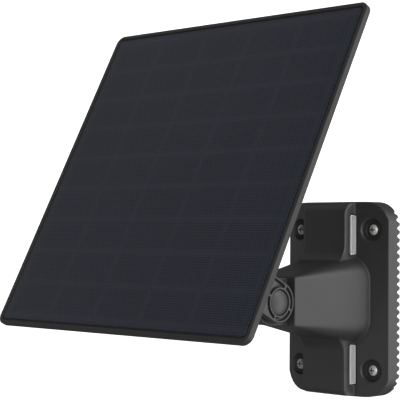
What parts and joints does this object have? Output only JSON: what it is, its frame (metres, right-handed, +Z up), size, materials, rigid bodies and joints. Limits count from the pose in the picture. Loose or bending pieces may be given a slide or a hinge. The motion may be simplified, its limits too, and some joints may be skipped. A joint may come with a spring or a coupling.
{
  "type": "solar panel",
  "caption": "Small square outdoor solar panel on a toothed wall or pole bracket, with a fork joint that tilts it.",
  "frame": {"origin": "centre of the four wall screws, on the plane where the base meets the wall", "axes": "+Z up, +X across the panel to the viewer's right, +Y into the wall; the panel faces -Y and up"},
  "size_m": [0.2208, 0.229, 0.2445],
  "materials": {
    "bracket_plastic": "fine spark-eroded texture, satin black",
    "fork_plastic": "fine moulded texture, satin charcoal",
    "cap_plastic": "smooth satin charcoal",
    "frame_plastic": "fine moulded texture, satin black",
    "housing_plastic": "fine moulded texture, satin black",
    "strap_steel": "brushed along its height",
    "screw_zinc": "bright zinc plate",
    "bolt_steel": "plain stainless",
    "bush_bronze": "sintered bronze",
    "friction_fibre": "dull black",
    "seal_rubber": "dull black",
    "socket_plastic": "smooth black",
    "board_green": "solder mask",
    "component_dark": "moulded and wound parts",
    "lead_red": "insulated wire",
    "backing": "dark laminate board",
    "ribbon_tin": "tinned copper ribbon",
    "cell_silicon": "dark blue-black silicon",
    "film": "embossed film over dark cells, satin"
  },
  "bodies": {
    "bracket": {"bracket_body": "bracket_plastic", "strap_sleeve_upper": "strap_steel", "strap_sleeve_lower": "strap_steel", "mounting_screws": "screw_zinc", "pivot_bush": "bush_bronze", "friction_disc_right": "friction_fibre", "friction_disc_left": "friction_fibre"},
    "panel_head": {"pivot_bolt": "bolt_steel", "pivot_nut": "bolt_steel", "spring_washer": "bolt_steel", "cap_right": "cap_plastic", "cap_left": "cap_plastic", "fork_arm": "fork_plastic", "fork_screws": "screw_zinc", "rear_housing": "housing_plastic", "housing_gasket": "seal_rubber", "housing_screws": "screw_zinc", "controller_board": "board_green", "board_components": "component_dark", "board_screws": "screw_zinc", "panel_leads": "lead_red", "output_socket": "socket_plastic", "socket_nut": "socket_plastic", "socket_plug": "seal_rubber", "panel_frame": "frame_plastic", "edge_seal": "seal_rubber", "backing_board": "backing", "cell_ribbons": "ribbon_tin", "solar_cells": "cell_silicon", "front_film": "film"}
  },
  "joints": [
    {"name": "tilt", "type": "hinge", "parent": "bracket", "child": "panel_head", "pos_m": [0, -0.087, 0], "axis": [-1, 0, 0], "range_deg": [-60, 34]}
  ]
}
